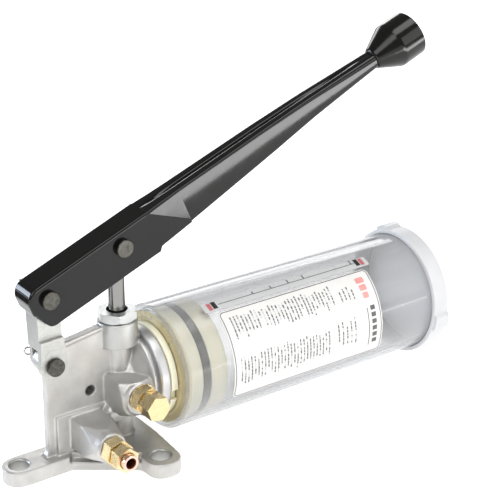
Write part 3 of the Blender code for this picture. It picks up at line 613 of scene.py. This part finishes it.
def lever_fold():
    """The facets where the channel's cheeks fold in to the arm, one on each side."""
    builder = bmesh.new()
    for side in (-1, 1):
        outer = CHANNEL_HALF * side
        near_top = Vector((CHANNEL_END + 1.5, outer, 8.0))
        low_far = Vector((FOLD_END + 0.3, outer, -10.2))
        apex = Vector((FOLD_END + 0.5, 7.3 * side, 7.9))
        deep = [Vector((point.x, outer * 0.6, point.z)) for point in (near_top, low_far, apex)]
        verts = [builder.verts.new(point) for point in [near_top, low_far, apex] + deep]
        bmesh.ops.convex_hull(builder, input=verts)
    piece("lever_fold", builder, LOOKS["paint"], "lever", place=LEVER_FRAME, bevel=0.3)


def knob():
    """The knob: a cone that widens from the arm to a short cylinder."""
    neck, shoulder, end = ARM_END + 0.4, 199.6, 214.6
    profile = softened([
        (neck, 0), (neck, 5.3), (neck + 0.9, 6.3), (shoulder - 0.6, KNOB_R - 0.35),
        (shoulder + 0.7, KNOB_R), (end, KNOB_R), (end, 0)], 1.1, steps=6)
    piece("knob_body", lathe(profile, "X", (0, KNOB_LIFT), 96), LOOKS["knob"], "lever",
          ["handle_knob"], place=LEVER_FRAME, sharp_deg=60)


# ---------------------------------------------------------------- link and rod

def link_bar():
    """The link: a wide block in the channel, a long front leg and a short back leg."""
    half_x, half_y, ear_half, gap = 6.7, 6.2, 4.5, 0.3
    bottom, top = 8.1, LINK_LENGTH + half_x
    block = prism(rounded([
        (-half_x, bottom, 1.5), (half_x, bottom, 1.5), (half_x, top, half_x - 0.1),
        (-half_x, top, half_x - 0.1)], 12), -half_y, half_y)

    def leg(radius, top_z, top_half, low, high):
        """A leg that is round below, about the ear pin, and top_half to each side at top_z."""
        angles = [math.radians(-194 + i * 208.0 / 32) for i in range(33)]
        arc = [(radius * math.cos(a), radius * math.sin(a)) for a in angles]
        return prism(arc + [(top_half, top_z), (-top_half, top_z)], low, high)

    legs = [leg(7.8, 15.0, half_x - 0.1, -ear_half - gap - 3.6, -ear_half - gap),
            leg(5.6, 14.0, 5.2, ear_half + gap, ear_half + gap + 2.8)]
    pad = prism([(x, z * 0.62 + 6.2) for x, z in circle(5.2)], -half_y - 2.4, -half_y + 1)
    bores = [cross_hole(PIN_HOLE_R, 0, 0), cross_hole(4.0, 0, LINK_LENGTH)]
    shape = boolean(boolean(block, "UNION", *legs, pad), "DIFFERENCE", *bores)
    piece("link_bar", shape, LOOKS["link"], "link", ["link"], place=LINK_FRAME, bevel=0.45)


# ---------------------------------------------------------------- brass fittings

def fittings():
    """The bleed screw and the outlet, each behind its own hexagon."""
    low, high = corners("bleed_washer")
    washer = tube_profile(low.y, high.y, 4.9, high.x, 0.3)
    piece("bleed_ring", lathe(washer, "Y", (0, BLEED.z), 72, True), LOOKS["brass"], "root",
          ["bleed_washer"])
    for node in ("bleed_adapter", "bleed_screw", "outlet_adapter", "outlet_union_nut"):
        refined(node, LOOKS["brass"], 0.25)
    low, high = corners("outlet_sleeve")
    outer = (high.x - low.x) / 2
    inner = outer - 1.4
    centre = (OUTLET.x, OUTLET.z)
    sleeve = tube_profile(low.y, high.y, inner, outer, 0.35)
    piece("copper_sleeve", lathe(sleeve, "Y", centre, 64, True), LOOKS["copper"], "root",
          ["outlet_sleeve"])
    lining = [(low.y + 0.6, inner - 0.03), (low.y + 0.6, inner - 0.15), (high.y, inner - 0.15),
              (high.y, inner - 0.03)]
    piece("sleeve_bore", lathe(lining, "Y", centre, 48, True), LOOKS["bore"], "root")


# ---------------------------------------------------------------- reservoir

CAP_R = 37.8
CAP_LUG_R = 39.9
CAP_LUGS = 3
CAP_LUG_START_DEG = -18.0
TUBE_BORE_R = 32.3
NECK_WALL_X = 24.4
SHEET_R = (35.3, 35.6)
PRINT_R = 35.66
PRINT_THICK = 0.04
LABEL_X = (51.2, 154.6)
LABEL_DEG = (31.0, 114.0)
SCALE_X = (45.5, 159.5)
SCALE_DEG = (17.5, 28.0)
BORDER_WIDTH = 0.42
BAR_HALF = 0.42
PRINT_COLUMNS = (
    # columns, x of the first and the last, degrees of their top and bottom
    (30, 57.0, 124.0, 37.0, 61.0),
    (4, 130.0, 138.5, 43.0, 59.0),
    (28, 56.0, 116.0, 74.0, 103.0),
    (5, 123.0, 135.0, 71.0, 99.0))


def wrapped(points, radius):
    """Points (x, degrees) on the reservoir's curve."""
    return [(x, -radius * math.sin(math.radians(deg)), radius * math.cos(math.radians(deg)))
            for x, deg in points]


def curved_sheet(x_low, x_high, deg_low, deg_high, r_low, r_high, corner=0.0):
    """A thin sheet bent round the reservoir, with rounded corners. corner is in millimetres."""
    builder = bmesh.new()
    deg_per_mm = math.degrees(1 / r_high)
    reach = corner * deg_per_mm
    rows = []
    steps = max(2, int((deg_high - deg_low) / 2.0))
    degs = [deg_low + (deg_high - deg_low) * i / steps for i in range(steps + 1)]
    if corner:
        for k in range(1, 6):
            degs += [deg_low + reach * (1 - math.cos(math.pi * k / 10)),
                     deg_high - reach * (1 - math.cos(math.pi * k / 10))]
    for deg in sorted(set(degs)):
        inset = 0.0
        edge = min(deg - deg_low, deg_high - deg)
        if corner and edge < reach:
            inset = corner * (1 - math.sqrt(max(0.0, 1 - (1 - edge / reach) ** 2)))
        rows.append([(x_low + inset, deg), (x_high - inset, deg)])
    grid = [[[builder.verts.new(point) for point in wrapped(row, r)] for row in rows]
            for r in (r_low, r_high)]
    inner, outer = grid
    for b in range(1, len(rows)):
        a = b - 1
        builder.faces.new((outer[a][0], outer[a][1], outer[b][1], outer[b][0]))
        builder.faces.new((inner[a][1], inner[a][0], inner[b][0], inner[b][1]))
        for side in (0, 1):
            builder.faces.new((outer[a][side], outer[b][side], inner[b][side], inner[a][side]))
    for end in (0, -1):
        builder.faces.new((outer[end][0], outer[end][1], inner[end][1], inner[end][0]))
    return builder


def frame_line(x_low, x_high, deg_low, deg_high, width, radius, corner):
    """A thin border with rounded corners, as a closed strip."""
    deg_per_mm = math.degrees(1 / radius)
    rings = []
    for inset in (0.0, width):
        soft = corner - inset
        points = rounded([(x_low + inset, (deg_low / deg_per_mm) + inset, soft),
                          (x_high - inset, (deg_low / deg_per_mm) + inset, soft),
                          (x_high - inset, (deg_high / deg_per_mm) - inset, soft),
                          (x_low + inset, (deg_high / deg_per_mm) - inset, soft)], 6)
        dense = []
        for i, point in enumerate(points):
            following = points[(i + 1) % len(points)]
            count = max(1, int(math.dist(point, following) / 1.5))
            count = 40 if count > 12 else count
            dense += [(point[0] + (following[0] - point[0]) * k / count,
                       (point[1] + (following[1] - point[1]) * k / count) * deg_per_mm)
                      for k in range(count)]
        rings.append(dense)
    builder = bmesh.new()
    thick = 0.03
    outer, inner = ([builder.verts.new(p) for p in wrapped(ring, radius)] for ring in rings)
    outer_low, inner_low = ([builder.verts.new(p) for p in wrapped(ring, radius - thick)]
                            for ring in rings)
    count = len(outer)
    for i in range(count):
        j = (i + 1) % count
        builder.faces.new((outer[i], outer[j], inner[j], inner[i]))
        builder.faces.new((outer_low[j], outer_low[i], inner_low[i], inner_low[j]))
        builder.faces.new((outer[j], outer[i], outer_low[i], outer_low[j]))
        builder.faces.new((inner[i], inner[j], inner_low[j], inner_low[i]))
    return builder


def mark(x_low, x_high, deg_low, deg_high):
    """A printed rectangle."""
    return curved_sheet(x_low, x_high, deg_low, deg_high, PRINT_R - PRINT_THICK, PRINT_R)


def label_print():
    """Plain bars in place of writing, plain blocks in place of the mark, and a thin border."""
    chance = random.Random(7)
    bars, faint = [], []
    for count, x_low, x_high, deg_low, deg_high in PRINT_COLUMNS:
        for i in range(count):
            x = x_low + (x_high - x_low) * i / (count - 1)
            deg = deg_low + chance.uniform(0, 4.0)
            end = deg_high - chance.uniform(0, 7.0) * (1 if i % 4 else 2)
            while deg < end:
                reach = chance.uniform(1.0, 3.2)
                (bars if chance.random() < 0.75 else faint).append(
                    mark(x - BAR_HALF, x + BAR_HALF, deg, min(deg + reach, end)))
                deg += reach + chance.uniform(0.5, 1.0)
    for i in range(6):
        bars.append(mark(147.2, 150.4, 66.0 + i * 6.4, 70.2 + i * 6.4))
    bars.append(mark(144.6, 145.1, 67.0, 104.0))
    piece("label_bars", merged(bars), LOOKS["grey_ink"], "reservoir", place=TANK_FRAME)
    piece("label_faint_bars", merged(faint), LOOKS["film"], "reservoir", place=TANK_FRAME)
    border = frame_line(52.0, 153.8, 31.8, 113.2, BORDER_WIDTH, PRINT_R, 2.6)
    piece("label_border", border, LOOKS["ink"], "reservoir", place=TANK_FRAME)
    blocks = [curved_sheet(143.6 + k * 0.5, 149.4 - k * 0.4, 38.0 + k * 7.4, 43.6 + k * 7.4,
                           PRINT_R - PRINT_THICK, PRINT_R, 0.8) for k in range(3)]
    piece("label_block", merged(blocks), LOOKS["pink_ink"], "reservoir", place=TANK_FRAME)


def scale_print():
    """The level line with its ticks, and a dark and a red block at each end."""
    line_deg, width_deg = 22.0, 0.55
    marks = [mark(55.5, 150.5, line_deg, line_deg + width_deg)]
    for x, rise in ((79.0, 3.2), (91.5, 4.0), (103.5, 4.8), (114.2, 5.6), (148.5, 6.5)):
        marks.append(mark(x - 0.35, x + 0.35, line_deg - rise * 0.85, line_deg))
    for x in (51.6, 151.0):
        marks.append(mark(x, x + 2.8, 17.8, 26.0))
    piece("scale_lines", merged(marks), LOOKS["ink"], "reservoir", place=TANK_FRAME)
    ends = [mark(x, x + 2.4, 18.4, 26.6) for x in (48.6, 154.4)]
    piece("scale_end_blocks", merged(ends), LOOKS["red_ink"], "reservoir", place=TANK_FRAME)


def clear_tube():
    """The tube, and the wall that closes its end round the neck. The wall's ochre is painted shade:
    the cream piston's face as it looks in shadow through the clear shoulder.
    """
    low, high = TUBE_LOW, TUBE_HIGH
    tube = softened([
        (low, 31.4), (low, 33.4), (low + 1.4, TUBE_R), (high, TUBE_R), (high, TUBE_BORE_R),
        (NECK_WALL_X + 1.6, TUBE_BORE_R), (NECK_WALL_X, 31.4)], 0.7, True)
    piece("clear_tube", lathe(tube, "X", steps=144, ring=True), LOOKS["clear"], "reservoir",
          ["reservoir_tube"], TANK_FRAME)
    # The neck wall is coloured with the ochre painted shade.
    wall = softened([
        (low + 0.3, 16.9), (low + 0.3, 27.0), (low + 1.2, 27.8), (low + 1.2, 31.3),
        (NECK_WALL_X, 31.3), (NECK_WALL_X, 16.9)], 0.4, True)
    piece("tube_neck_wall", lathe(wall, "X", steps=120, ring=True), LOOKS["ochre_painted_shade"], "reservoir",
          place=TANK_FRAME)


def cap_lug(middle_deg, low, high):
    """A grip lug: half of its outline in (degrees from its middle, radius), then the other."""
    profile = [(-9.5, CAP_R - 1.4), (9.5, CAP_R - 1.4), (8.5, CAP_R + 0.1), (6.2, CAP_LUG_R - 0.2)]
    profile += [(deg, CAP_LUG_R) for deg in (4.0, 2.0, 0.0, -2.0, -4.0)]
    profile += [(-6.2, CAP_LUG_R - 0.2), (-8.5, CAP_R + 0.1)]
    outline = [(-r * math.sin(math.radians(deg + middle_deg)),
                r * math.cos(math.radians(deg + middle_deg))) for deg, r in profile]
    return prism(outline, low, high, "X")


def end_cap():
    """The cap: a ring over the tube's end, a recessed end wall with a dimple, and lugs."""
    ring_low, cap_end = (corner.x for corner in corners("end_cap"))
    seat, end_wall = TUBE_HIGH + 0.3, cap_end - 0.5
    cap = lathe(softened([
        (seat, 0), (seat, TUBE_R + 0.3), (ring_low, TUBE_R + 0.3), (ring_low, CAP_R),
        (cap_end, CAP_R), (cap_end, 33.0), (end_wall, 31.8), (end_wall, 2.2),
        (TUBE_HIGH + 0.9, 1.9), (TUBE_HIGH + 0.9, 0)], 0.6), "X", steps=144)
    lugs = [cap_lug(math.degrees(2 * math.pi * i / CAP_LUGS) + CAP_LUG_START_DEG,
                    ring_low + 0.4, cap_end - 0.4) for i in range(CAP_LUGS)]
    piece("cap_ring", boolean(cap, "UNION", *lugs), LOOKS["cap"], "reservoir", ["end_cap"],
          TANK_FRAME)


def collar():
    """The notched ring between the flange and the tube."""
    low, high = corners("reservoir_collar")
    notch = prism([(-30.0, -8.5), (-22.6, -8.5), (-22.6, -2.5), (-30.0, -2.5)], 15.0, 23.0, "X")
    ring = lathe(tube_profile(low.x, high.x, 19.8, high.y, 0.4), "X", steps=96, ring=True)
    piece("collar_ring", boolean(ring, "DIFFERENCE", notch), LOOKS["cream"], "reservoir",
          ["reservoir_collar"], TANK_FRAME)


def reservoir():
    clear_tube()
    end_cap()
    collar()
    piece("label_sheet", curved_sheet(*LABEL_X, *LABEL_DEG, *SHEET_R, 3.2), LOOKS["paper"],
          "reservoir", ["label"], TANK_FRAME)
    piece("scale_strip", curved_sheet(*SCALE_X, *SCALE_DEG, *SHEET_R, 0.8), LOOKS["film"],
          "reservoir", ["level_scale"], TANK_FRAME)
    label_print()
    scale_print()


def piston():
    """The follower piston, with its seal in a groove and a hollow towards the cap."""
    low, high = corners("follower_piston")
    radius = high.y
    seal_low, seal_high = (corner.x for corner in corners("piston_seal"))
    groove_low, groove_high, groove_r = seal_low - 0.3, seal_high + 0.3, 28.6
    floor = low.x + 4.0
    body = softened([
        (low.x, 0), (low.x, radius - 1.6), (low.x + 1.6, radius), (groove_low, radius),
        (groove_low, groove_r), (groove_high, groove_r), (groove_high, radius),
        (high.x, radius), (high.x, 26.0), (floor, 25.0), (floor, 0)], 0.35)
    piece("piston_body", lathe(body, "X", steps=120), LOOKS["cream"], "piston",
          ["follower_piston"], TANK_FRAME)
    band = softened([
        (seal_low, 28.9), (seal_low, radius + 0.1), ((seal_low + seal_high) / 2, radius + 0.3),
        (seal_high, radius + 0.1), (seal_high, 28.9)], 0.5, True)
    piece("piston_band", lathe(band, "X", steps=120, ring=True), LOOKS["seal"], "piston",
          ["piston_seal"], TANK_FRAME)


# ---------------------------------------------------------------- pins, nut and inner parts

def wire(points, radius, depth, steps=10):
    """A round wire bent along a closed path of (x, z) points at the given y."""
    builder = bmesh.new()
    rows = []
    for i, point in enumerate(points):
        along = (Vector(points[(i + 1) % len(points)]) - Vector(points[i - 1])).normalized()
        across = Vector((along.y, -along.x))
        rows.append([builder.verts.new((
            point[0] + across.x * radius * math.cos(a), depth + radius * math.sin(a),
            point[1] + across.y * radius * math.cos(a)))
            for a in (2 * math.pi * k / steps for k in range(steps))])
    for near, far in zip(rows, rows[1:] + rows[:1]):
        for k in range(steps):
            j = (k + 1) % steps
            builder.faces.new((near[k], near[j], far[j], far[k]))
    return builder


def split_pin(node, depth, place):
    """Two legs with bent tips, and a wire loop, pinched at the pin, as their head."""
    half, reach = 0.55, 4.6
    loop_x, loop_reach, loop_half, loop_steps = -5.9, 2.9, 2.4, 36
    legs = prism(rounded([(-reach, -half, 0), (4.0, -half, 0.3), (6.4, -2.6, 0.3), (7.0, -2.0, 0.2),
                          (4.6, half, 0.3), (-reach, half, 0)], 3), depth - 0.5, depth + 0.5)
    loop = []
    for i in range(loop_steps):
        a = 2 * math.pi * i / loop_steps
        pinch = (1 + math.cos(a)) / 2
        loop.append((loop_x + loop_reach * math.cos(a),
                     loop_half * math.sin(a) * (1 - 0.5 * pinch)))
    piece(node + "_wire", merged([legs, wire(loop, 0.52, depth)]), LOOKS["steel"], BODY_OF[node],
          [node], place=place, sharp_deg=50)


def gland_nut():
    """The hexagon with its lower corners turned away too, so its flats end in arcs."""
    low, high = corners("gland_nut")
    spigot_r, turned_low, turned_high = 9.5, 75.8, 77.4
    turned_down = lathe([
        (low.z - 1, 0), (low.z - 1, spigot_r), (turned_low, spigot_r), (turned_high, 11.4),
        (high.z + 1, 12.5), (high.z + 1, 0)])
    piece("gland_nut_finished", boolean(node_shape("gland_nut"), "INTERSECT", turned_down),
          LOOKS["zinc"], "root", ["gland_nut"], bevel=0.22)


def small_parts():
    """The rod, the pins, and the inner parts, whose CAD shapes only get a material."""
    gland_nut()
    refined("plunger_rod", LOOKS["polished"], 0.2)
    refined("rod_eye", LOOKS["steel"], 0.3)
    for pin in ("ear_pin", "link_pin", "rod_pin"):
        refined(pin, LOOKS["oxide"], 0.22)
    split_pin("ear_split_pin", 9.6, LINK_FRAME @ Matrix.Rotation(math.radians(33), 4, "Y"))
    for pin in ("link_split_pin", "rod_split_pin"):
        refined(pin, LOOKS["steel"], 0.16)
    refined("ear_washer", LOOKS["steel"], 0.15)
    for node, look in (("valve_seat", "brass"), ("valve_ball", "steel"), ("valve_spring", "steel"),
                       ("rod_packing", "rubber"), ("neck_gasket", "rubber")):
        NODES[node].data.materials.clear()
        NODES[node].data.materials.append(LOOKS[look])


# ---------------------------------------------------------------- studio

def area_light(name, place, target, size, power, color=(1, 1, 1)):
    lamp = bpy.data.lights.new(name, "AREA")
    lamp.shape = "RECTANGLE"
    lamp.size, lamp.size_y = size
    lamp.energy = power
    lamp.color = color
    light = bpy.data.objects.new(name, lamp)
    light.location = place
    light.rotation_euler = (Vector(target) - Vector(place)).to_track_quat("-Z", "Y").to_euler()
    light.visible_camera = False
    bpy.context.scene.collection.objects.link(light)


def card(name, points, height, look):
    """A flat four-cornered stage card."""
    mesh = bpy.data.meshes.new(name)
    mesh.from_pydata([(x, y, 0) for x, y in points], [], [(0, 1, 2, 3)])
    mesh.materials.append(look.material)
    thing = bpy.data.objects.new(name, mesh)
    thing.location.z = height
    bpy.context.scene.collection.objects.link(thing)
    return thing


def studio():
    """A camera at the reference angle, a pale floor and soft light. Lengths are in metres."""
    looks_down_deg, turned_deg = 20.30, -35.75
    data = bpy.data.cameras.new("camera")
    data.sensor_width = 36.0
    data.lens = 113.74
    data.shift_y = -0.15
    data.clip_start = 0.01
    camera = bpy.data.objects.new("camera", data)
    camera.location = (-0.3855, -0.6558, 0.4364)
    camera.rotation_euler = (math.radians(90 - looks_down_deg), 0, math.radians(turned_deg))
    bpy.context.scene.collection.objects.link(camera)
    bpy.context.scene.camera = camera

    reach = 6.0
    pale = Look("pale_floor", Roughness=0.8, Emission_Color=(1, 1, 1, 1), Emission_Strength=0.70)
    pale.color((0.80, 0.80, 0.80), (0.82, 0.82, 0.82), pale.noise(200))
    card("floor", [(-reach, -reach), (reach, -reach), (reach, reach), (-reach, reach)], -0.0002,
         pale)
    black = Look("dark_card", Roughness=0.9)
    black.color((0.03, 0.03, 0.03), (0.04, 0.04, 0.04), black.noise(200))
    dark = card("dark_card", [(-0.62, 0.10), (-0.11, 0.10), (-0.11, 0.62), (-0.62, 0.62)], 0.002,
                black)
    dark.visible_camera = dark.visible_diffuse = dark.visible_shadow = False

    world = bpy.data.worlds.new("studio")
    world.use_nodes = True
    world.node_tree.nodes["Background"].inputs["Color"].default_value = (1, 1, 1, 1)
    world.node_tree.nodes["Background"].inputs["Strength"].default_value = 0.16
    bpy.context.scene.world = world
    centre = (0.05, 0, 0.08)
    area_light("front_right_box", (0.80, -1.12, 0.72), centre, (1.2, 0.9), 6.2)
    area_light("key", (-0.95, -0.55, 0.95), centre, (0.8, 0.8), 6.5)
    area_light("overhead", (0.12, -0.30, 1.25), centre, (1.3, 0.5), 8.5)
    area_light("back_card", (0.52, 0.98, 0.44), (-0.02, 0, 0.05), (1.1, 0.34), 5)
    area_light("back_left_strip", (-0.72, 0.80, 0.28), (-0.04, 0, 0.05), (0.5, 0.40), 7,
               (0.76, 0.86, 1))
    area_light("floor_card", (0.64, -0.72, 0.004), (0.64, -0.72, 1.0), (1.1, 0.62), 20)
    bpy.context.scene.view_settings.view_transform = "Standard"


studio()
pump_body()
machined_rings()
lever_channel()
lever_arm()
lever_fold()
knob()
link_bar()
fittings()
reservoir()
piston()
small_parts()
